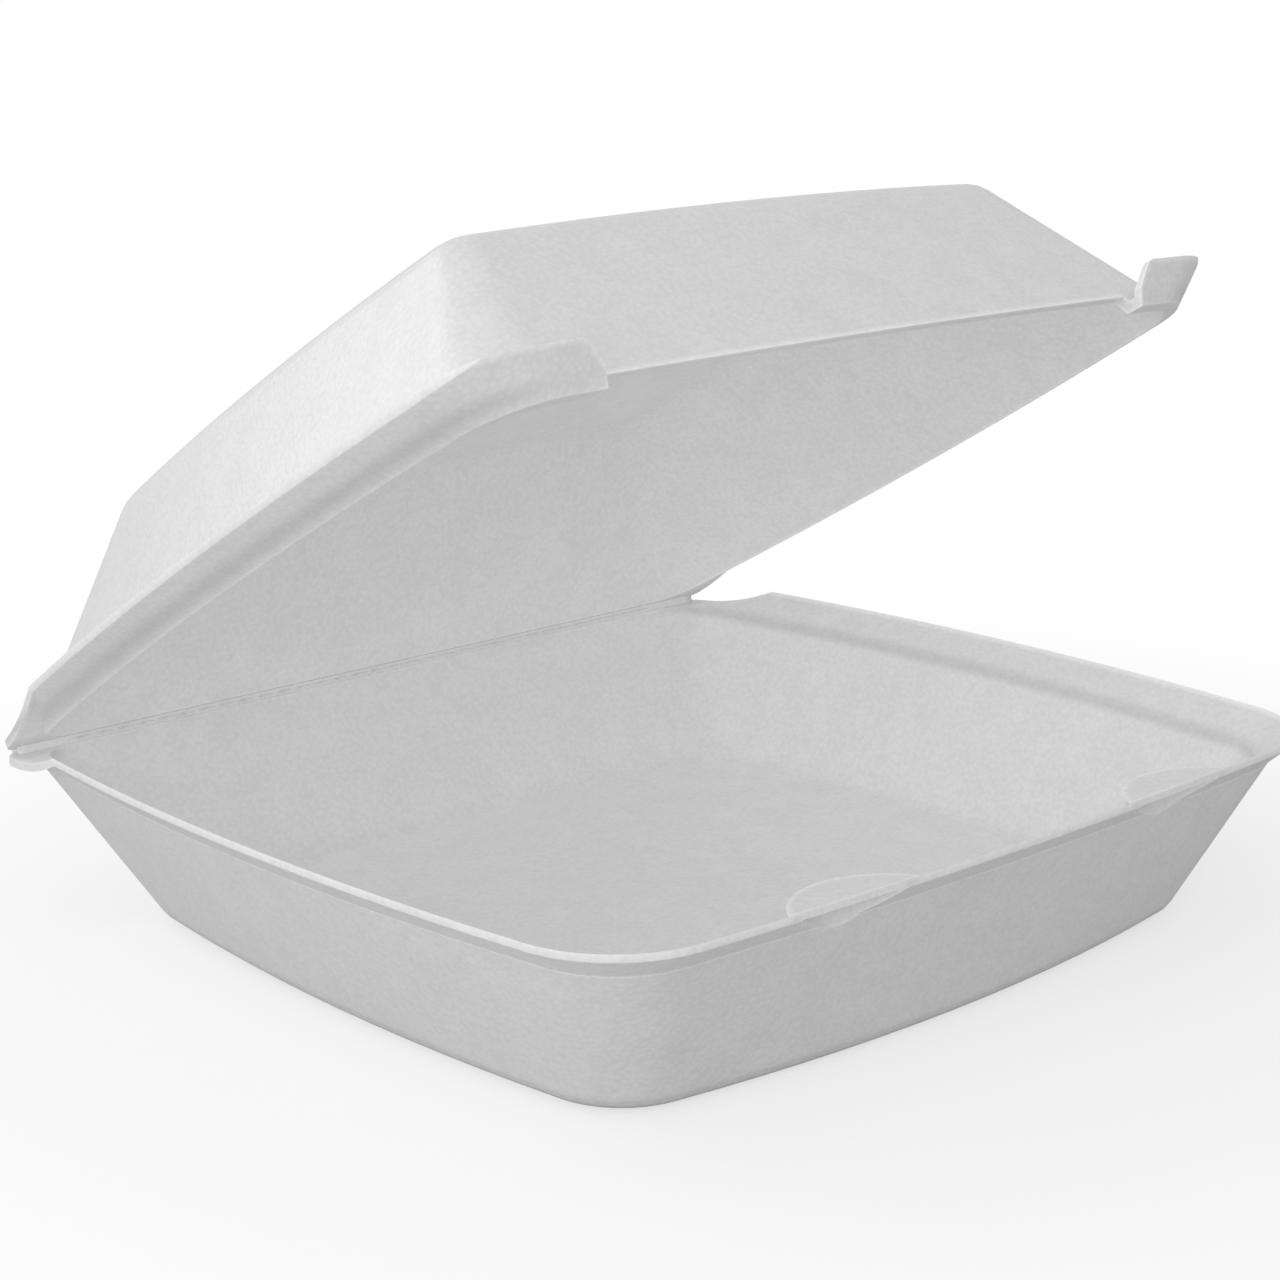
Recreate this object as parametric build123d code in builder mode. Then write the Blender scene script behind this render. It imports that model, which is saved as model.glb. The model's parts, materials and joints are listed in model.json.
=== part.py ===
from build123d import *
from math import atan2, copysign, cos, radians, sin, tan
from typing import NamedTuple
import os

# Hinged-lid foam takeout container: one thermoformed sheet of foam that folds
# along a perforated line. Millimetres, +Z up, origin on the table under the
# middle of the tray, front at -Y and fold line at +Y.

# The foam sheet and the fold
sheet = 2.4                   # thickness of the foam
fold_gap = 0.2                # room left on each side of the fold line
open_angle = 30.0             # how far the lid stands open, degrees
perforation_length = 2.0      # cut dashes along the fold
perforation_depth = 1.1
perforation_pitch = 5.2
perforation_margin = 12.0     # plain stretch at each end of the fold
overrun = 30.0                # how far cutters reach past what they cut
round_shares = (0, 0.25, 0.5, 0.75, 1)    # outlines drawn along a rounded edge

# The crease where the walls turn out into the rim, seen from above
crease_half_width = 100.0
crease_front = 187.5          # fold line to the front crease
crease_side_bow = 7.6
crease_front_bow = 4.0
crease_front_corner = 16.0
crease_back_corner = 9.0

# The flared rim outside the crease
rim_width = 7.0
rim_rise = 5.7
rim_sheet = 1.8               # thickness of the rim where it leaves the walls
rim_edge = 1.5                # height of its trimmed edge
rim_tip_round = 4.0           # rounded ends of the rim beside the fold
ramp_length = 26.0            # stretch beside the fold over which the rim sinks to it

# The tray
tray_depth = 33.6             # table to crease
floor_half_width = 84.5
floor_front = 176.5           # fold line to the front of the floor
floor_back = 24.0             # fold line to the back of the floor
floor_side_bow = 5.0
floor_front_bow = 8.0
floor_back_bow = 8.0
floor_front_corner = 16.0
floor_back_corner = 6.0
floor_round = 3.5             # inside radius between floor and walls

# The dome of the lid
dome_height = 41.4            # crease to the top of the lid
mouth_front = 183.0           # fold line to the front of the lid's mouth
mouth_front_bow = 3.0
top_half_width = 73.5
top_front = 161.5
top_back = 29.5
top_side_bow = 3.5
top_front_bow = 3.5
top_back_bow = 3.5
top_corner = 5.0
top_round = 5.0               # inside radius between top and walls

# The lid's front edge and its two lifting ears
lip_rise = 3.9                # crease to the trimmed front edge
lip_half_width = 72.0         # half the trimmed stretch between the ears
ear_rise = 8.8                # crease to the top of an ear
ear_lean = 2.1                # outward lean of an ear over one rim_rise
ear_slant = 3.6               # sideways run of the cut at the end of an ear
ear_round = 2.6               # rounded end of an ear

# The two undercut locks in the tray's front rim
lock_spacing = 92.0
lock_radius = 18.4
lock_reach = 10.3             # rim edge to the innermost point of a lock
lock_skin = 1.3               # foam over a lock's pocket
lock_foot = 2.0               # crease down to the foot of a lock
lock_draft = 26.0             # undercut angle, degrees

# Derived slopes and offsets
side_draft = atan2(crease_half_width - floor_half_width, tray_depth - sheet)
wall_run = sheet / cos(side_draft)
edge_run = wall_run - sheet * tan(side_draft)
flare = atan2(rim_rise, rim_width)
rim_drop = rim_sheet / cos(flare)
far_drop = 2 * rim_edge - rim_drop
ear_tilt = atan2(ear_lean, rim_rise)
ear_inset = rim_sheet / cos(ear_tilt) - rim_drop * tan(ear_tilt)
fold_y = (crease_front + rim_width) / 2
fold_half_length = crease_half_width - crease_side_bow
perforation_count = int(2 * (fold_half_length - perforation_margin) / perforation_pitch)

tray_fold = Plane(origin=(0, fold_y, tray_depth))
lid_up = (0, sin(radians(open_angle)), cos(radians(open_angle)))
lid_fold = Plane(origin=(0, fold_y, tray_depth), x_dir=(1, 0, 0), z_dir=lid_up)


class Outline(NamedTuple):
    """A four-sided outline seen from above, its depths measured from the fold line."""

    half_width: float
    front: float
    back: float
    side_bow: float
    front_bow: float
    back_bow: float
    front_corner: float
    back_corner: float

    def grown(self, run, front_run=None):
        """The same outline moved outward, by its own amount at the front if given."""
        ahead = run if front_run is None else front_run
        return self._replace(
            half_width=self.half_width + run,
            front=self.front + ahead,
            back=self.back - run,
            front_corner=self.front_corner + ahead,
            back_corner=self.back_corner + run,
        )

    def towards(self, other, share):
        """The outline that share of the way from this one to another."""
        return Outline(*(here + share * (there - here) for here, there in zip(self, other)))

    def face(self):
        """The outline as a face with bowed sides and rounded corners."""
        half_end = self.half_width - self.side_bow
        front_end = self.front - self.front_bow
        back_end = self.back + self.back_bow
        middle = (front_end + back_end) / 2
        with BuildSketch() as drawn:
            with BuildLine():
                ThreePointArc((half_end, -front_end), (self.half_width, -middle), (half_end, -back_end))
                if self.back_bow:
                    ThreePointArc((half_end, -back_end), (0, -self.back), (-half_end, -back_end))
                else:
                    Line((half_end, -back_end), (-half_end, -back_end))
                ThreePointArc((-half_end, -back_end), (-self.half_width, -middle), (-half_end, -front_end))
                ThreePointArc((-half_end, -front_end), (0, -self.front), (half_end, -front_end))
            make_face()
            fillet(drawn.vertices().group_by(Axis.Y)[0], self.front_corner)
            fillet(drawn.vertices().group_by(Axis.Y)[-1], self.back_corner)
        return drawn.sketch


crease = Outline(
    half_width=crease_half_width,
    front=crease_front,
    back=wall_run + fold_gap,
    side_bow=crease_side_bow,
    front_bow=crease_front_bow,
    back_bow=0,
    front_corner=crease_front_corner,
    back_corner=crease_back_corner,
)
rim = crease.grown(rim_width)._replace(back=fold_gap, back_corner=rim_tip_round)
flared = crease.grown(2 * rim_width)
floor = Outline(
    half_width=floor_half_width,
    front=floor_front,
    back=floor_back,
    side_bow=floor_side_bow,
    front_bow=floor_front_bow,
    back_bow=floor_back_bow,
    front_corner=floor_front_corner,
    back_corner=floor_back_corner,
)
mouth = crease._replace(front=mouth_front, front_bow=mouth_front_bow)
top = Outline(
    half_width=top_half_width,
    front=top_front,
    back=top_back,
    side_bow=top_side_bow,
    front_bow=top_front_bow,
    back_bow=top_back_bow,
    front_corner=top_corner,
    back_corner=top_corner,
)
ears = crease.grown(2 * rim_width, 2 * ear_lean)


def side_view(fold):
    """The plane across the fold line, with x towards the back and y up from the fold."""
    return Plane(origin=fold.origin, x_dir=fold.y_dir, z_dir=fold.x_dir)


def front_view(fold, depth):
    """The plane across the part at a depth from the fold line, facing the front."""
    return Plane(origin=fold.from_local_coords((0, -depth, 0)), x_dir=fold.x_dir, z_dir=-fold.y_dir)


def ramp(fold, height):
    """The air over the rim beside the fold, which leaves the fold level and curves upward."""
    with BuildPart() as wedge:
        with BuildSketch(side_view(fold)):
            with BuildLine():
                TangentArc((0, height), (-ramp_length, height + rim_rise), tangent=(-1, 0))
                Polyline(
                    (-ramp_length, height + rim_rise),
                    (-2 * ramp_length, height + 2 * rim_rise),
                    (overrun, height + 2 * rim_rise),
                    (overrun, height),
                    (0, height),
                )
            make_face()
        extrude(amount=crease_half_width + 2 * rim_width, both=True)
    return wedge.part


def bowl(fold, level, mouth_level, flat, mouth, radius):
    """The solid between a flat outline and its wider mouth, rounded where flat and walls meet."""
    height = mouth_level - level
    draft = atan2(mouth.half_width - flat.half_width, abs(height))
    turn = radians(90) - draft
    with BuildPart() as solid:
        for share in round_shares:
            rise = radius * (1 - cos(share * turn))
            inset = rise * tan(draft) + radius * (tan(turn / 2) - sin(share * turn))
            with BuildSketch(fold.offset(level + copysign(rise, height))):
                add(flat.towards(mouth, rise / abs(height)).grown(-inset).face())
        with BuildSketch(fold.offset(mouth_level)):
            add(mouth.face())
        loft(ruled=True)
    return solid.part


# Air over the inside of the tray: its hollow, the flare of the rim and the ramp at the fold
with BuildPart() as tray_air:
    add(bowl(tray_fold, sheet - tray_depth, 0, floor, crease, floor_round))
    with BuildSketch(tray_fold):
        add(crease.face())
    with BuildSketch(tray_fold.offset(2 * rim_rise)):
        add(flared.face())
    loft()
    add(ramp(tray_fold, -fold_gap))

# One lock: a round boss that leans in over the lid's front edge, and the pocket under it
lock_lean = (rim_rise + lock_foot) * tan(radians(lock_draft))
lock_wall = sheet / cos(radians(lock_draft))
lock_centre = (lock_spacing / 2, lock_reach - crease_front - rim_width - lock_radius)

with BuildPart() as lock_boss:
    with BuildSketch(tray_fold.offset(-lock_foot - sheet)):
        with Locations(lock_centre):
            Circle(lock_radius - lock_lean)
    with BuildSketch(tray_fold.offset(rim_rise)):
        with Locations(lock_centre):
            Circle(lock_radius)
    loft()
    mirror(about=Plane.YZ)

with BuildPart() as lock_pocket:
    with BuildSketch(tray_fold.offset(-lock_foot - 2 * sheet)):
        with Locations(lock_centre):
            Circle(lock_radius - lock_lean - lock_wall)
    with BuildSketch(tray_fold.offset(rim_rise - lock_skin)):
        with Locations(lock_centre):
            Circle(lock_radius - lock_wall)
    loft()
    mirror(about=Plane.YZ)

with BuildPart() as base_tray:
    underside = floor.grown(edge_run)
    add(bowl(tray_fold, -tray_depth, 0, underside, crease.grown(wall_run), floor_round + sheet))
    with BuildSketch(tray_fold.offset(-rim_drop)):
        add(crease.face())
    with BuildSketch(tray_fold.offset(2 * rim_rise - far_drop)):
        add(flared.face())
    loft()
    add(ramp(tray_fold, -fold_gap - rim_sheet))
    add(lock_pocket.part, mode=Mode.SUBTRACT)
    add(tray_air.part - lock_boss.part, mode=Mode.SUBTRACT)
    with BuildSketch(tray_fold.offset(-tray_depth)):
        add(rim.face())
    extrude(amount=tray_depth + 2 * rim_rise, mode=Mode.INTERSECT)
    with BuildSketch(tray_fold):
        with GridLocations(perforation_pitch, 0, perforation_count, 1):
            Rectangle(perforation_length, 2 * perforation_depth)
    extrude(amount=overrun, both=True, mode=Mode.SUBTRACT)

base_tray.part.label = "base_tray"

# Solid dome of the lid, to be hollowed
with BuildPart() as dome:
    outside = top.grown(edge_run)
    add(bowl(lid_fold, dome_height, fold_gap, outside, mouth.grown(wall_run), top_round + sheet))

# Air inside the dome
with BuildPart() as dome_air:
    add(bowl(lid_fold, dome_height - sheet, 0, top, mouth, top_round))

# Air over the lid's rim, which leans out over the tray's rim and stands up in two ears
with BuildPart() as rim_air:
    with BuildSketch(lid_fold.offset(2 * fold_gap + rim_drop)):
        add(crease.grown(0, -ear_inset).face())
    with BuildSketch(lid_fold.offset(2 * fold_gap + far_drop + 2 * rim_rise)):
        add(ears.grown(0, -ear_inset).face())
    loft()
    add(ramp(lid_fold, fold_gap + rim_sheet))

# Room under the lid's rim, which the tray's rim fills when the lid is shut
with BuildPart() as rim_room:
    with BuildSketch(lid_fold):
        add(flared.face())
    extrude(amount=2 * rim_rise)
    with BuildSketch(lid_fold.offset(2 * fold_gap)):
        add(crease.face())
    with BuildSketch(lid_fold.offset(2 * fold_gap + 2 * rim_rise)):
        add(ears.face())
    loft(mode=Mode.SUBTRACT)
    add(ramp(lid_fold, fold_gap), mode=Mode.SUBTRACT)

with BuildPart() as hinged_lid:
    with BuildSketch(lid_fold):
        add(rim.face())
    extrude(amount=ear_rise)
    add(rim_air.part, mode=Mode.SUBTRACT)
    with BuildSketch(front_view(lid_fold, top_front)) as front_notch:
        with BuildLine():
            Polyline(
                (0, 0),
                (lip_half_width, 0),
                (lip_half_width, lip_rise),
                (lip_half_width + ear_slant, ear_rise),
                (crease_half_width, ear_rise),
                (crease_half_width, ear_rise + overrun),
                (0, ear_rise + overrun),
                close=True,
            )
        make_face()
        ear_ends = front_notch.vertices().filter_by_position(Axis.Y, ear_rise, ear_rise)
        fillet(ear_ends.sort_by(Axis.X)[0], ear_round)
        mirror(about=Plane.YZ)
    extrude(amount=crease_front, mode=Mode.SUBTRACT)
    add(dome.part)
    add(rim_room.part, mode=Mode.SUBTRACT)
    add(dome_air.part, mode=Mode.SUBTRACT)
    with BuildSketch(front_view(lid_fold, top_front)):
        Rectangle(2 * lip_half_width, 2 * lip_rise)
    extrude(amount=crease_front, mode=Mode.SUBTRACT)
    with BuildSketch(lid_fold):
        with GridLocations(perforation_pitch, 0, perforation_count, 1):
            Rectangle(perforation_length, 2 * perforation_depth)
    extrude(amount=overrun, both=True, mode=Mode.SUBTRACT)

hinged_lid.part.label = "hinged_lid"

os.makedirs("parts", exist_ok=True)
export_step(base_tray.part, "parts/base_tray.step")
export_step(hinged_lid.part, "parts/hinged_lid.step")
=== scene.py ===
import json
import math

import bpy
from mathutils import Matrix, Vector


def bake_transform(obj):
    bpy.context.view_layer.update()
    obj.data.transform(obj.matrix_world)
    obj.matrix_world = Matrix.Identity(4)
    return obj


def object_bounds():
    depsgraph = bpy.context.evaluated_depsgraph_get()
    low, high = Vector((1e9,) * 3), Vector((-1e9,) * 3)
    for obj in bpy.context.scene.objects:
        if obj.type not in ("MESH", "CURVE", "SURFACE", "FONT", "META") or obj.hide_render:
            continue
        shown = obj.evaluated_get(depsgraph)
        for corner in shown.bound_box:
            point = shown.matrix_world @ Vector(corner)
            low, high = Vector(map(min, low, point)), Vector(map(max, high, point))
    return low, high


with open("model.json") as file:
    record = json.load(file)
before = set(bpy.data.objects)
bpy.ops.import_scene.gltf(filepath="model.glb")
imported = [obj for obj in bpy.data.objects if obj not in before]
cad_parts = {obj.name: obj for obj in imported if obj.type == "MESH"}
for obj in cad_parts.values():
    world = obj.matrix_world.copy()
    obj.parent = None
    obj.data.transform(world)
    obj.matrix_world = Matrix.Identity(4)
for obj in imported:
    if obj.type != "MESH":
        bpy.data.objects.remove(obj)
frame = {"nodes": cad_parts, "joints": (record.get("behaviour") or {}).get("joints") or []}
CAD_LOW, CAD_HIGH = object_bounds()
FOLD = next(joint for joint in frame["joints"] if joint["name"] == "lid_fold")
FOLD_LINE = Vector(FOLD["pos_m"])
LID_OPEN = math.radians(-FOLD["range_deg"][0])

bl_info = {
    "name": "Foam Takeout Container",
    "version": (1, 0, 0),
    "blender": (4, 5, 0),
    "location": "View3D > Sidebar > Foam Container",
    "description": "Dresses a hinged foam container: bead grain, soft sheen, perforated fold and studio",
    "category": "Object",
}


class FoamFinishAndPaintedLight(bpy.types.PropertyGroup):
    """The finish of the foam sheet, with the painted shade and painted highlights laid on its colour."""

    colour: bpy.props.FloatVectorProperty(
        name="Foam colour", description="Colour of the foam skin",
        subtype="COLOR", size=3, min=0.0, max=1.0, default=(0.88, 0.88, 0.88))
    shade: bpy.props.FloatVectorProperty(
        name="Bead shade", description="Colour between the beads and in the cloudy patches",
        subtype="COLOR", size=3, min=0.0, max=1.0, default=(0.77, 0.77, 0.77))
    bead_size: bpy.props.FloatProperty(
        name="Bead size", description="Width of one foam bead", unit="LENGTH", default=0.0011)
    bead_share: bpy.props.FloatProperty(
        name="Bead share", description="How much of the shade lies between the beads", default=0.8)
    cloud_size: bpy.props.FloatProperty(
        name="Cloud size", description="Width of the faint cloudy patches", unit="LENGTH", default=0.009)
    cloud_share: bpy.props.FloatProperty(
        name="Cloud share", description="How much of the shade lies in the cloudy patches", default=0.9)
    cloud_start: bpy.props.FloatProperty(
        name="Cloud start", description="Shade taken off the cloudy patches", default=0.15)
    bump_height: bpy.props.FloatProperty(
        name="Bump height", description="Height of the bead grain", unit="LENGTH", default=0.00008)
    bump_strength: bpy.props.FloatProperty(
        name="Bump strength", description="Strength of the bead grain", subtype="FACTOR",
        min=0.0, max=1.0, default=0.8)
    # Crease width and crease shade set the painted shade in hollows and creases: ambient occlusion darkens
    # the colour there.
    crease_width: bpy.props.FloatProperty(
        name="Crease width", description="Width of the soft shade in hollows and creases", unit="LENGTH",
        default=0.0045)
    painted_crease_shade: bpy.props.FloatProperty(
        name="Crease shade", description="Darkest share of the shade in a crease", subtype="FACTOR",
        min=0.0, max=1.0, default=0.24)
    # Edge width and edge shine set a painted highlight along convex edges; the paler line is painted light,
    # not a paler colour.
    edge_width: bpy.props.FloatProperty(
        name="Edge width", description="Width of the paler line along an edge", unit="LENGTH",
        default=0.0012)
    edge_shine: bpy.props.FloatProperty(
        name="Edge shine", description="Added share of brightness along an edge", subtype="FACTOR",
        min=0.0, max=1.0, default=0.26)
    # The step settings place a band of painted shade along the side rims: inside the tray's side walls and
    # under the lid's rims, where the lid has no step.
    step_height: bpy.props.FloatProperty(
        name="Step height", description="Height of the soft step along the tray's inner side walls",
        unit="LENGTH", default=0.0332)
    lid_painted_shade_height: bpy.props.FloatProperty(
        name="Lid painted shade height", unit="LENGTH", default=0.0361,
        description="Height of the soft shade under the lid's side rims, with the lid shut")
    step_width: bpy.props.FloatProperty(
        name="Step width", description="Distance from a step at which its shade ends", unit="LENGTH",
        default=0.0022)
    painted_step_shade: bpy.props.FloatProperty(
        name="Painted step shade", description="Share of the shade along the steps", subtype="FACTOR",
        min=0.0, max=1.0, default=0.19)
    step_turn: bpy.props.FloatProperty(
        name="Step turn", description="How far the shade of the steps reaches round the corners", default=1.5)
    glow: bpy.props.FloatProperty(
        name="Glow", description="Share of the light that passes each skin of the foam", subtype="FACTOR",
        min=0.0, max=1.0, default=0.66)
    deep_light: bpy.props.FloatProperty(
        name="Deep light", description="Light in place of all bounces past the deep depth", default=0.6)
    deep_depth: bpy.props.IntProperty(
        name="Deep depth", description="Diffuse depth past which the deep light takes over", default=1)
    roughness: bpy.props.FloatProperty(
        name="Roughness", description="Roughness of the pressed skin", subtype="FACTOR",
        min=0.0, max=1.0, default=0.34)


class FoamFold(bpy.types.PropertyGroup):
    """The thin foam that is left along the perforated fold."""

    dash: bpy.props.FloatProperty(
        name="Dash", description="Length of one cut dash and of the foam up to the next", unit="LENGTH",
        default=0.0026)
    count: bpy.props.IntProperty(
        name="Lengths", description="Number of dash lengths along the fold", default=75)
    plain: bpy.props.IntProperty(
        name="Plain lengths", description="Number of dash lengths left uncut at each end", default=5)
    mouth: bpy.props.FloatProperty(
        name="Mouth", description="From the fold line to the front of the crease", unit="LENGTH",
        default=0.00275)
    valley: bpy.props.FloatProperty(
        name="Valley", description="From the fold line to the bottom of the crease", unit="LENGTH",
        default=0.0022)
    slit: bpy.props.FloatProperty(
        name="Slit", description="Opening of one cut dash", unit="LENGTH", default=0.00036)
    back: bpy.props.FloatProperty(
        name="Back", description="From the fold line along each outer end of the sheet", unit="LENGTH",
        default=0.0016)
    gap: bpy.props.FloatProperty(
        name="Gap", description="From the fold line's plane to the middle of the skin", unit="LENGTH",
        default=0.00013)
    skin: bpy.props.FloatProperty(
        name="Skin", description="Thickness of the skin", unit="LENGTH", default=0.0001)


class FoamStudio(bpy.types.PropertyGroup):
    """The floor, the light and the camera."""

    camera_place: bpy.props.FloatVectorProperty(
        name="Camera place", description="Where the camera stands", subtype="XYZ", unit="LENGTH",
        size=3, default=(-0.37822, -0.40396, 0.20232))
    azimuth: bpy.props.FloatProperty(
        name="Azimuth", description="Heading of the view, zero along +Y", subtype="ANGLE",
        default=math.radians(-42.54))
    elevation: bpy.props.FloatProperty(
        name="Elevation", description="Height of the camera above the horizon", subtype="ANGLE",
        default=math.radians(14.567))
    roll: bpy.props.FloatProperty(
        name="Roll", description="Turn of the camera about its view", subtype="ANGLE",
        default=math.radians(-0.331))
    lens: bpy.props.FloatProperty(
        name="Lens", description="Focal length on a 36 mm frame", default=78.15)
    near_limit: bpy.props.FloatProperty(
        name="Near limit", description="Distance from the camera at which it starts to see", unit="LENGTH",
        default=0.01)
    floor_size: bpy.props.FloatProperty(
        name="Floor size", description="Width of the floor", unit="LENGTH", default=8.0)
    floor_colour: bpy.props.FloatVectorProperty(
        name="Floor colour", description="Colour of the floor for the light that falls on it",
        subtype="COLOR", size=3, min=0.0, max=1.0, default=(0.58, 0.58, 0.58))
    floor_glow: bpy.props.FloatProperty(
        name="Floor glow", description="Light that the camera sees added to the floor around the object",
        default=0.46)
    shadow_reach: bpy.props.FloatProperty(
        name="Shadow reach", description="Distance at which the floor has turned white", unit="LENGTH",
        default=0.30)
    fade_share: bpy.props.FloatProperty(
        name="Fade share", description="Share of the shadow reach at which the floor starts to turn white",
        subtype="FACTOR", min=0.0, max=1.0, default=0.4)
    world_strength: bpy.props.FloatProperty(
        name="Surrounding light", description="Strength of the even light from all sides", default=0.68)
    key_power: bpy.props.FloatProperty(
        name="Key lamp", description="Power of the key lamp in watts", default=3.6)
    key_size: bpy.props.FloatProperty(
        name="Key size", description="Width of the key lamp", unit="LENGTH", default=0.8)
    key_place: bpy.props.FloatVectorProperty(
        name="Key place", description="Place of the key lamp from the middle of the object",
        subtype="XYZ", unit="LENGTH", size=3, default=(-1.05, -0.4, 0.25))
    front_power: bpy.props.FloatProperty(
        name="Front lamp", description="Power of the lamp at the front in watts", default=0.4)
    front_size: bpy.props.FloatProperty(
        name="Front size", description="Width of the lamp at the front", unit="LENGTH", default=0.7)
    front_place: bpy.props.FloatVectorProperty(
        name="Front place", description="Place of the front lamp from the middle of the object",
        subtype="XYZ", unit="LENGTH", size=3, default=(-0.3, -0.9, 0.8))
    rim_power: bpy.props.FloatProperty(
        name="Rim lamp", description="Power of the lamp behind the object in watts", default=2.0)
    rim_size: bpy.props.FloatProperty(
        name="Rim size", description="Width of the lamp behind the object", unit="LENGTH", default=0.6)
    rim_place: bpy.props.FloatVectorProperty(
        name="Rim place", description="Place of the rim lamp from the middle of the object",
        subtype="XYZ", unit="LENGTH", size=3, default=(-0.35, 0.95, 0.5))


def new_tree(owner):
    """The emptied node tree of a material or world."""
    owner.use_nodes = True
    owner.node_tree.nodes.clear()
    return owner.node_tree


def set_sockets(made, values):
    """Sets a node's input sockets by name, with an underscore for each space."""
    for name, value in values.items():
        made.inputs[name.replace("_", " ")].default_value = value


def node(tree, kind, at, **values):
    """A node of a kind placed in the editor, with its input sockets set by name."""
    made = tree.nodes.new(kind)
    made.location = at
    set_sockets(made, values)
    return made


def group_node(tree, name, build, at, **values):
    """A node that holds a shared node group, which is built on first use."""
    made = node(tree, "ShaderNodeGroup", at)
    made.node_tree = bpy.data.node_groups.get(name) or build(name)
    set_sockets(made, values)
    return made


def math_node(tree, operation, at, *values):
    """The result of a maths node; a value is a number or another node's socket."""
    made = node(tree, "ShaderNodeMath", at)
    made.operation = operation
    for place, value in zip(made.inputs, values):
        if isinstance(value, bpy.types.NodeSocket):
            tree.links.new(value, place)
        else:
            place.default_value = value
    return made.outputs[0]


def fade_node(tree, at, **ends):
    """A node that runs smoothly from 0 to 1 between two values."""
    made = node(tree, "ShaderNodeMapRange", at, **ends)
    made.interpolation_type = "SMOOTHSTEP"
    return made


def mix_shader(tree, at, share, first, second):
    """The mix of two shaders by a share."""
    made = node(tree, "ShaderNodeMixShader", at)
    for place, source in zip(made.inputs, (share, first, second)):
        tree.links.new(source, place)
    return made.outputs[0]


def new_group(name, inputs, outputs):
    """A node group with number sockets, its entry and its exit."""
    group = bpy.data.node_groups.new(name, "ShaderNodeTree")
    for way, names in (("INPUT", inputs), ("OUTPUT", outputs)):
        for socket in names:
            group.interface.new_socket(socket, in_out=way, socket_type="NodeSocketFloat")
    return group, node(group, "NodeGroupInput", (-900, 0)), node(group, "NodeGroupOutput", (700, 0))


def bead_grain_group(name):
    """A node group with the beads of pressed foam: a mask of shade and a height."""
    sizes = ("Bead scale", "Bead share", "Cloud scale", "Cloud share", "Cloud start")
    group, entry, leave = new_group(name, sizes, ("Shade", "Height"))
    place = node(group, "ShaderNodeTexCoord", (-900, -300))
    beads = node(group, "ShaderNodeTexVoronoi", (-600, 250))
    clouds = node(group, "ShaderNodeTexNoise", (-600, -250), Detail=2.0, Roughness=0.65)
    link = group.links.new
    for texture, scale in ((beads, "Bead scale"), (clouds, "Cloud scale")):
        link(place.outputs["Object"], texture.inputs["Vector"])
        link(entry.outputs[scale], texture.inputs["Scale"])
    between = beads.outputs["Distance"]
    cells = math_node(group, "MULTIPLY", (-300, 250), between, entry.outputs["Bead share"])
    cloudy = math_node(group, "MULTIPLY", (-300, 0), clouds.outputs["Fac"], entry.outputs["Cloud share"])
    patches = math_node(group, "SUBTRACT", (-100, 0), cloudy, entry.outputs["Cloud start"])
    shade = math_node(group, "ADD", (100, 0), cells, patches)
    shade.node.use_clamp = True
    link(shade, leave.inputs["Shade"])
    link(math_node(group, "SUBTRACT", (100, 250), 1.0, between), leave.inputs["Height"])
    return group


def rim_painted_shade_group(name):
    """A node group with a mask for the painted shade at the side rims: inside on the tray, outside on the
    lid.
    """
    group, entry, leave = new_group(name, ("Tray height", "Lid height", "Width", "Turn"), ("Mask",))
    place = node(group, "ShaderNodeTexCoord", (-900, -300))
    shut = node(group, "ShaderNodeVectorRotate", (-700, 500), Center=FOLD_LINE, Angle=LID_OPEN)
    shut.rotation_type = "X_AXIS"
    spot = node(group, "ShaderNodeSeparateXYZ", (-700, 100))
    shut_spot = node(group, "ShaderNodeSeparateXYZ", (-500, 500))
    facing = node(group, "ShaderNodeSeparateXYZ", (-700, -200))
    link = group.links.new
    link(place.outputs["Object"], spot.inputs["Vector"])
    link(place.outputs["Object"], shut.inputs["Vector"])
    link(shut.outputs["Vector"], shut_spot.inputs["Vector"])
    link(place.outputs["Normal"], facing.inputs["Vector"])
    side = math_node(group, "SIGN", (-500, -50), spot.outputs["X"])
    outward = math_node(group, "MULTIPLY", (-300, -200), side, facing.outputs["X"])
    inward = math_node(group, "MULTIPLY", (-300, -400), outward, -1.0)
    tray = painted_line_mask(group, entry, 0, spot.outputs["Z"], "Tray height", inward)
    lid = painted_line_mask(group, entry, 300, shut_spot.outputs["Z"], "Lid height", outward)
    link(math_node(group, "MAXIMUM", (500, 0), tray, lid), leave.inputs["Mask"])
    return group


def painted_line_mask(group, entry, row, height, step_height, facing):
    """A mask for painted shade around one rim height, on walls that face the side."""
    steep = math_node(group, "MULTIPLY", (-100, row - 200), facing, entry.outputs["Turn"])
    steep.node.use_clamp = True
    above = math_node(group, "SUBTRACT", (-300, row + 100), height, entry.outputs[step_height])
    line = fade_node(group, (100, row + 100), From_Max=0.0)
    group.links.new(entry.outputs["Width"], line.inputs["From Min"])
    group.links.new(math_node(group, "ABSOLUTE", (-100, row + 100), above), line.inputs["Value"])
    return math_node(group, "MULTIPLY", (300, row), steep, line.outputs["Result"])


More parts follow.
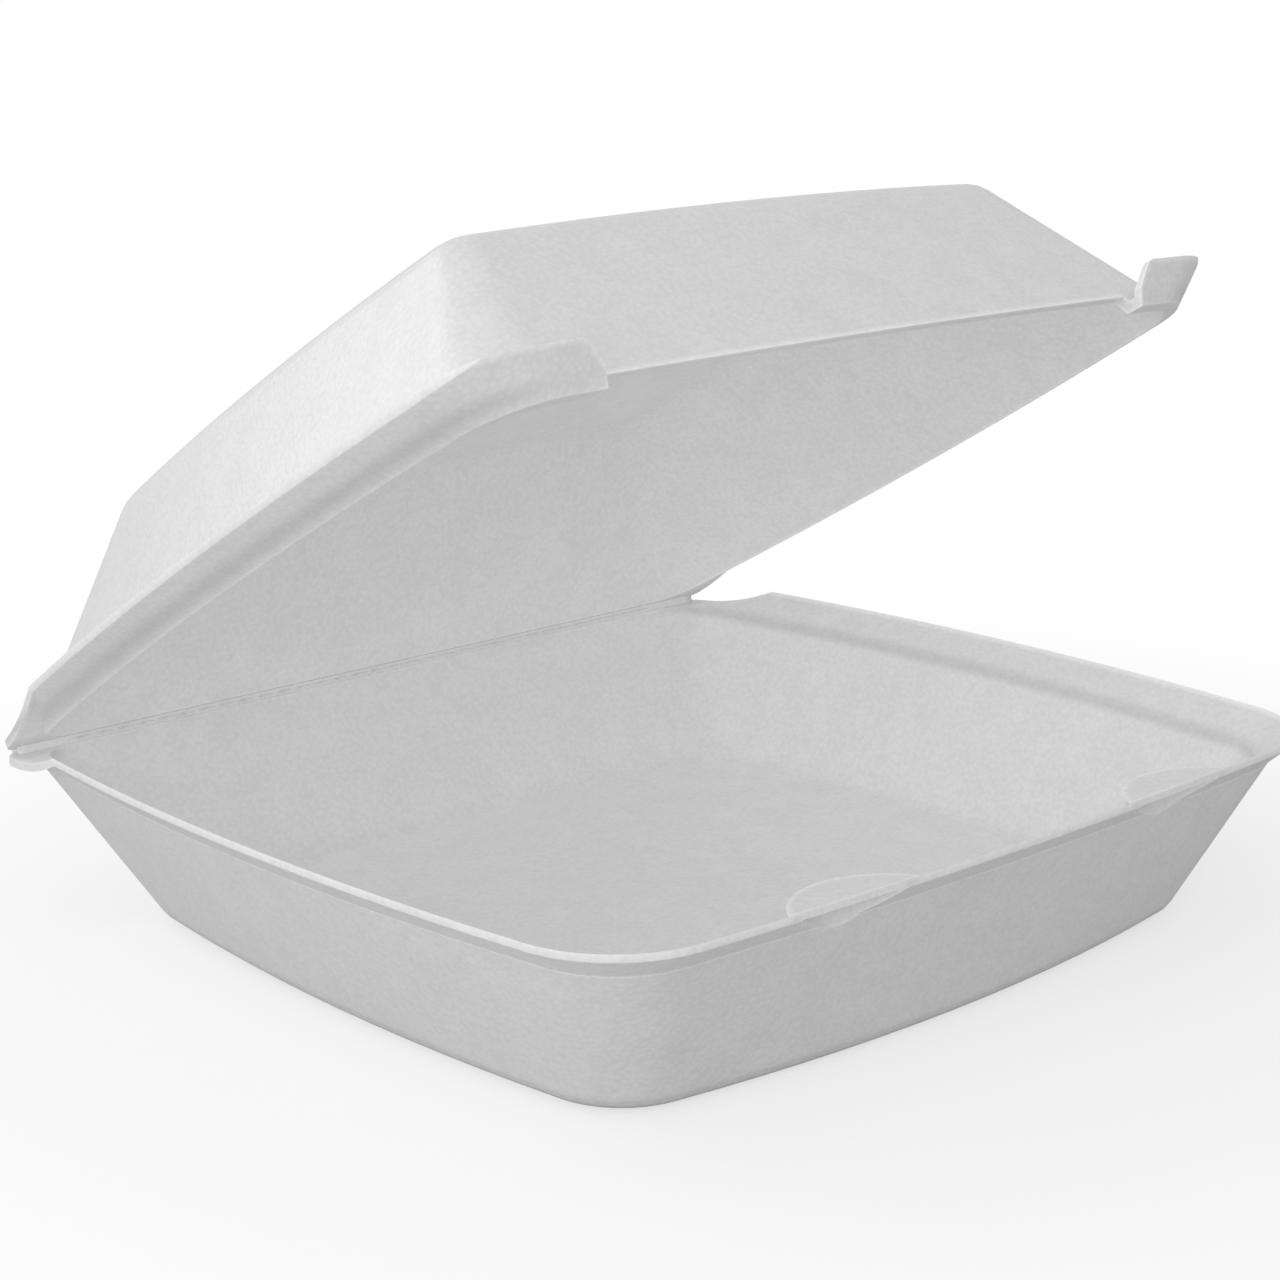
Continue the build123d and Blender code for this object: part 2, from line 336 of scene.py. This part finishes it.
def painted_light_factor(tree, finish, painted_crease_shade, edge_shine):
    """Painted light on the skin: painted shade in hollows and along the rim steps, painted highlight along
    edges.
    """
    # Painted shade in hollows and creases, from ambient occlusion.
    hollows = node(tree, "ShaderNodeAmbientOcclusion", (-500, 500), Distance=finish.crease_width)
    hollows.samples = 1
    # Painted highlight along convex edges.
    ridges = node(tree, "ShaderNodeAmbientOcclusion", (-500, 750), Distance=finish.edge_width)
    ridges.samples = 1
    ridges.inside = True
    ridges.only_local = True
    # Painted shade along the side rims.
    step = group_node(
        tree, "Rim painted shade", rim_painted_shade_group, (-500, 250), Tray_height=finish.step_height,
        Lid_height=finish.lid_painted_shade_height, Width=finish.step_width, Turn=finish.step_turn)
    open_share = hollows.outputs["AO"]
    inner_share = ridges.outputs["AO"]
    on_painted_line = step.outputs["Mask"]
    dim = math_node(tree, "MULTIPLY_ADD", (-300, 500), open_share, painted_crease_shade, 1.0 - painted_crease_shade)
    bright = math_node(tree, "MULTIPLY_ADD", (-300, 750), inner_share, -edge_shine, 1.0 + edge_shine)
    drop = math_node(tree, "MULTIPLY_ADD", (-300, 250), on_painted_line, -finish.painted_step_shade, 1.0)
    edged = math_node(tree, "MULTIPLY", (-100, 600), dim, bright)
    return math_node(tree, "MULTIPLY", (0, 400), edged, drop)


def foam_skin(tree, finish, painted_crease_shade, edge_shine):
    """The skin that the camera sees: near-white with faint beads, cloudy patches and a soft sheen."""
    grain = group_node(
        tree, "Bead grain", bead_grain_group, (-300, 0), Bead_scale=1.0 / finish.bead_size,
        Bead_share=finish.bead_share, Cloud_scale=1.0 / finish.cloud_size,
        Cloud_share=finish.cloud_share, Cloud_start=finish.cloud_start)
    # Inputs 6 and 7 of a Mix node take the two colours, and output 2 gives their mix.
    colour = node(tree, "ShaderNodeMix", (0, 150))
    colour.data_type = "RGBA"
    colour.inputs[6].default_value = (*finish.colour, 1.0)
    colour.inputs[7].default_value = (*finish.shade, 1.0)
    pressed = node(tree, "ShaderNodeVectorMath", (200, 200))
    pressed.operation = "SCALE"
    bump = node(
        tree, "ShaderNodeBump", (200, -200), Strength=finish.bump_strength, Distance=finish.bump_height)
    skin = node(tree, "ShaderNodeBsdfPrincipled", (400, 0), Roughness=finish.roughness)
    link = tree.links.new
    link(grain.outputs["Shade"], colour.inputs["Factor"])
    link(colour.outputs[2], pressed.inputs["Vector"])
    # The base colour is scaled by painted light: painted shade and painted highlights.
    link(painted_light_factor(tree, finish, painted_crease_shade, edge_shine), pressed.inputs["Scale"])
    link(pressed.outputs["Vector"], skin.inputs["Base Color"])
    link(grain.outputs["Height"], bump.inputs["Height"])
    link(bump.outputs["Normal"], skin.inputs["Normal"])
    return skin.outputs["BSDF"]


def foam_bounce(tree, finish, path):
    """The plain skin that bounced light meets, with a constant light in place of the later bounces."""
    plain = node(tree, "ShaderNodeBsdfDiffuse", (400, 350), Color=(*finish.colour, 1.0))
    deep = node(tree, "ShaderNodeEmission", (400, 500), Strength=finish.deep_light)
    later = math_node(tree, "GREATER_THAN", (400, 700), path.outputs["Diffuse Depth"], finish.deep_depth)
    return mix_shader(tree, (600, 400), later, plain.outputs["BSDF"], deep.outputs["Emission"])


def foam_material(finish, name, painted_crease_shade, edge_shine):
    """Pressed foam, which lets a share of each lamp's light through."""
    material = bpy.data.materials.new(name)
    tree = new_tree(material)
    out = node(tree, "ShaderNodeOutputMaterial", (1200, 0))
    path = node(tree, "ShaderNodeLightPath", (200, 700))
    glow = finish.glow
    through = node(tree, "ShaderNodeBsdfTransparent", (800, -150), Color=(glow, glow, glow, 1.0))
    skin = foam_skin(tree, finish, painted_crease_shade, edge_shine)
    bounce = foam_bounce(tree, finish, path)
    seen = mix_shader(tree, (800, 100), path.outputs["Is Camera Ray"], bounce, skin)
    lit = mix_shader(tree, (1000, 0), path.outputs["Is Shadow Ray"], seen, through.outputs["BSDF"])
    tree.links.new(lit, out.inputs["Surface"])
    material.cycles.emission_sampling = "NONE"
    return material


def foam(finish):
    """The foam of the tray and the lid, made on first use."""
    return bpy.data.materials.get("Pressed foam") or foam_material(
        finish, "Pressed foam", finish.painted_crease_shade, finish.edge_shine)


def thin_foam(finish):
    """The thin foam of the fold, too thin for painted crease shade and painted edge highlights; made on first
    use.
    """
    return bpy.data.materials.get("Thin foam") or foam_material(finish, "Thin foam", 0.0, 0.0)


def wear(thing, material):
    """Gives a thing that one material."""
    thing.data.materials.clear()
    thing.data.materials.append(material)


class FOAM_OT_shells(bpy.types.Operator):
    """Dress the tray and the lid in pressed foam"""

    bl_idname = "foam.shells"
    bl_label = "Tray and Lid"

    def execute(self, context):
        for shell in frame["nodes"].values():
            wear(shell, foam(context.scene.foam_finish))
        return {"FINISHED"}


class FOAM_OT_fold(bpy.types.Operator):
    """Join tray and lid with the perforated crease and the skin behind it"""

    bl_idname = "foam.fold"
    bl_label = "Perforated Fold"

    def execute(self, context):
        fold = context.scene.foam_fold
        middle = LID_OPEN / 2
        front = (
            self.beside(-fold.mouth, -fold.gap, 0.0),
            self.beside(-(fold.mouth + fold.valley) / 2, -fold.gap / 2, middle / 3),
            self.beside(-fold.valley, -fold.slit / 2, middle),
            self.beside(-fold.valley, fold.slit / 2, middle),
            self.beside(-(fold.mouth + fold.valley) / 2, fold.gap / 2, LID_OPEN - middle / 3),
            self.beside(-fold.mouth, fold.gap, LID_OPEN),
        )
        crease = self.strip(fold, "fold_crease", front)
        self.cut_dashes(crease, fold)
        self.finish(context, crease, fold, front)
        behind = (
            self.beside(-fold.gap, -fold.back, 0.0),
            self.beside(-fold.gap, -fold.back / 2, 0.0),
            self.beside(0.0, 0.0, middle),
            self.beside(-fold.gap, fold.back / 2, LID_OPEN),
            self.beside(-fold.gap, fold.back, LID_OPEN),
        )
        skin = self.strip(fold, "fold_skin", behind)
        self.finish(context, skin, fold, behind)
        return {"FINISHED"}

    def beside(self, along, above, turn):
        """A point by the fold line, given along and above a sheet that is turned about that line."""
        return Matrix.Rotation(-turn, 4, "X") @ Vector((0.0, along, above))

    def strip(self, fold, name, profile):
        """A strip along the fold whose rows follow a profile from the tray to the lid."""
        length = fold.dash * fold.count
        steps = len(profile) - 1
        bpy.ops.object.select_all(action="DESELECT")
        bpy.ops.mesh.primitive_grid_add(
            x_subdivisions=fold.count, y_subdivisions=steps, size=length, location=FOLD_LINE)
        strip = bpy.context.active_object
        strip.name = name
        rows = [round((vertex.co.y / length + 0.5) * steps) for vertex in strip.data.vertices]
        bpy.ops.object.mode_set(mode="EDIT")
        bpy.ops.mesh.select_all(action="SELECT")
        bpy.ops.transform.resize(value=(1, 0, 1))
        for row, place in enumerate(profile):
            self.select_row(strip, rows, row)
            bpy.ops.transform.translate(value=place)
        bpy.ops.object.mode_set(mode="OBJECT")
        return strip

    def select_row(self, strip, rows, row):
        """Selects the vertices of one row."""
        bpy.ops.mesh.select_all(action="DESELECT")
        bpy.ops.object.mode_set(mode="OBJECT")
        strip.data.vertices.foreach_set("select", [one == row for one in rows])
        bpy.ops.object.mode_set(mode="EDIT")

    def cut_dashes(self, crease, fold):
        """Opens every second length of the crease's bottom."""
        half = fold.dash * fold.count / 2
        bottom = self.beside(-fold.valley, 0.0, LID_OPEN / 2)
        bpy.ops.object.mode_set(mode="EDIT")
        bpy.ops.mesh.select_all(action="DESELECT")
        bpy.ops.mesh.select_mode(type="FACE")
        bpy.ops.object.mode_set(mode="OBJECT")
        for face in crease.data.polygons:
            column = int((face.center.x + half) / fold.dash)
            inner = fold.plain <= column < fold.count - fold.plain
            at_bottom = (face.center - bottom).yz.length < fold.slit / 2
            face.select = inner and column % 2 == 0 and at_bottom
        bpy.ops.object.mode_set(mode="EDIT")
        bpy.ops.mesh.delete(type="ONLY_FACE")
        bpy.ops.mesh.select_mode(type="VERT")
        bpy.ops.object.mode_set(mode="OBJECT")

    def finish(self, context, strip, fold, profile):
        """Thickens a strip and dresses it."""
        bpy.ops.object.modifier_add(type="SOLIDIFY")
        solid = strip.modifiers[-1]
        solid.thickness = fold.skin
        solid.offset = 0.0
        bpy.ops.object.modifier_apply(modifier=solid.name)
        bpy.ops.object.transform_apply(location=True, rotation=True, scale=True)
        bpy.ops.object.mode_set(mode="EDIT")
        bpy.ops.mesh.select_all(action="SELECT")
        bpy.ops.mesh.normals_make_consistent(inside=False)
        bpy.ops.object.mode_set(mode="OBJECT")
        bpy.ops.object.shade_smooth()
        wear(strip, thin_foam(context.scene.foam_finish))
        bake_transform(strip)


class FOAM_OT_studio(bpy.types.Operator):
    """Set the pale floor, the soft lamps and the camera"""

    bl_idname = "foam.studio"
    bl_label = "Studio"

    def execute(self, context):
        studio = context.scene.foam_studio
        self.floor(studio)
        self.world(context.scene, studio)
        self.lamp("Key", studio.key_power, studio.key_size, studio.key_place)
        self.lamp("Front", studio.front_power, studio.front_size, studio.front_place)
        self.lamp("Rim", studio.rim_power, studio.rim_size, studio.rim_place)
        self.camera(context.scene, studio)
        context.scene.view_settings.view_transform = "Standard"
        return {"FINISHED"}

    def floor(self, studio):
        """A pale floor under the object that turns white around its shadow."""
        bpy.ops.object.select_all(action="DESELECT")
        bpy.ops.mesh.primitive_plane_add(size=studio.floor_size, location=(0, 0, CAD_LOW.z))
        floor = bpy.context.active_object
        floor.name = "Floor"
        wear(floor, self.floor_material(studio))

    def floor_material(self, studio):
        """Pale paint; the camera sees it lit up, and white further out."""
        material = bpy.data.materials.new("White floor")
        tree = new_tree(material)
        out = node(tree, "ShaderNodeOutputMaterial", (800, 0))
        paint = node(tree, "ShaderNodeBsdfDiffuse", (0, 0), Color=(*studio.floor_colour, 1.0))
        glow = node(tree, "ShaderNodeEmission", (0, -150), Strength=studio.floor_glow)
        white = node(tree, "ShaderNodeEmission", (0, -300), Strength=1.0)
        near = node(tree, "ShaderNodeAddShader", (200, -50))
        path = node(tree, "ShaderNodeLightPath", (400, 300))
        place = node(tree, "ShaderNodeTexCoord", (-600, -400))
        distance = node(tree, "ShaderNodeVectorMath", (-400, -400))
        distance.operation = "LENGTH"
        reach = studio.shadow_reach
        fade = fade_node(tree, (-200, -400), From_Min=studio.fade_share * reach, From_Max=reach)
        link = tree.links.new
        link(place.outputs["Object"], distance.inputs["Vector"])
        link(distance.outputs["Value"], fade.inputs["Value"])
        link(paint.outputs["BSDF"], near.inputs[0])
        link(glow.outputs["Emission"], near.inputs[1])
        seen = mix_shader(
            tree, (400, -100), fade.outputs["Result"], near.outputs["Shader"], white.outputs["Emission"])
        shown = mix_shader(tree, (600, 0), path.outputs["Is Camera Ray"], paint.outputs["BSDF"], seen)
        link(shown, out.inputs["Surface"])
        material.cycles.emission_sampling = "NONE"
        return material

    def world(self, scene, studio):
        """Even light from all sides, and white where the camera looks past the object."""
        scene.world = bpy.data.worlds.new("Studio world")
        tree = new_tree(scene.world)
        out = node(tree, "ShaderNodeOutputWorld", (600, 0))
        white = (1.0, 1.0, 1.0, 1.0)
        even = node(tree, "ShaderNodeBackground", (0, 100), Color=white, Strength=studio.world_strength)
        backdrop = node(tree, "ShaderNodeBackground", (0, -100), Color=white, Strength=1.0)
        path = node(tree, "ShaderNodeLightPath", (0, 400))
        shown = mix_shader(
            tree, (300, 0), path.outputs["Is Camera Ray"], even.outputs["Background"],
            backdrop.outputs["Background"])
        tree.links.new(shown, out.inputs["Surface"])

    def lamp(self, name, power, size, place):
        """An area lamp that faces the middle of the object."""
        data = bpy.data.lights.new(name, "AREA")
        data.energy = power
        data.size = size
        lamp = bpy.data.objects.new(name, data)
        bpy.context.scene.collection.objects.link(lamp)
        aim = (CAD_LOW + CAD_HIGH) / 2
        lamp.location = aim + Vector(place)
        lamp.rotation_euler = (aim - lamp.location).to_track_quat("-Z", "Y").to_euler()

    def camera(self, scene, studio):
        """The camera at the photograph's place, view and lens."""
        turn, rise = studio.azimuth, studio.elevation
        level = math.cos(rise)
        back = Vector((math.sin(turn) * level, -math.cos(turn) * level, math.sin(rise)))
        right = Vector((math.cos(turn), math.sin(turn), 0.0))
        axes = Matrix((right, back.cross(right), back)).transposed().to_4x4()
        data = bpy.data.cameras.new("Camera")
        data.lens = studio.lens
        data.clip_start = studio.near_limit
        camera = bpy.data.objects.new("Camera", data)
        scene.collection.objects.link(camera)
        place = Matrix.Translation(Vector(studio.camera_place))
        camera.matrix_world = place @ axes @ Matrix.Rotation(studio.roll, 4, "Z")
        scene.camera = camera


class FOAM_PT_panel(bpy.types.Panel):
    """Lists the pieces of the container"""

    bl_label = "Foam Container"
    bl_idname = "FOAM_PT_panel"
    bl_space_type = "VIEW_3D"
    bl_region_type = "UI"
    bl_category = "Foam Container"

    def draw(self, context):
        for operator in OPERATORS:
            self.layout.operator(operator.bl_idname)


OPERATORS = (FOAM_OT_shells, FOAM_OT_fold, FOAM_OT_studio)
GROUPS = {"foam_finish": FoamFinishAndPaintedLight, "foam_fold": FoamFold, "foam_studio": FoamStudio}
CLASSES = (*GROUPS.values(), *OPERATORS, FOAM_PT_panel)


def register():
    for made in CLASSES:
        bpy.utils.register_class(made)
    for name, group in GROUPS.items():
        setattr(bpy.types.Scene, name, bpy.props.PointerProperty(type=group))


def unregister():
    for name in GROUPS:
        delattr(bpy.types.Scene, name)
    for made in reversed(CLASSES):
        bpy.utils.unregister_class(made)


def main():
    register()
    bpy.ops.foam.shells()
    bpy.ops.foam.fold()
    bpy.ops.foam.studio()


if __name__ == "__main__":
    main()
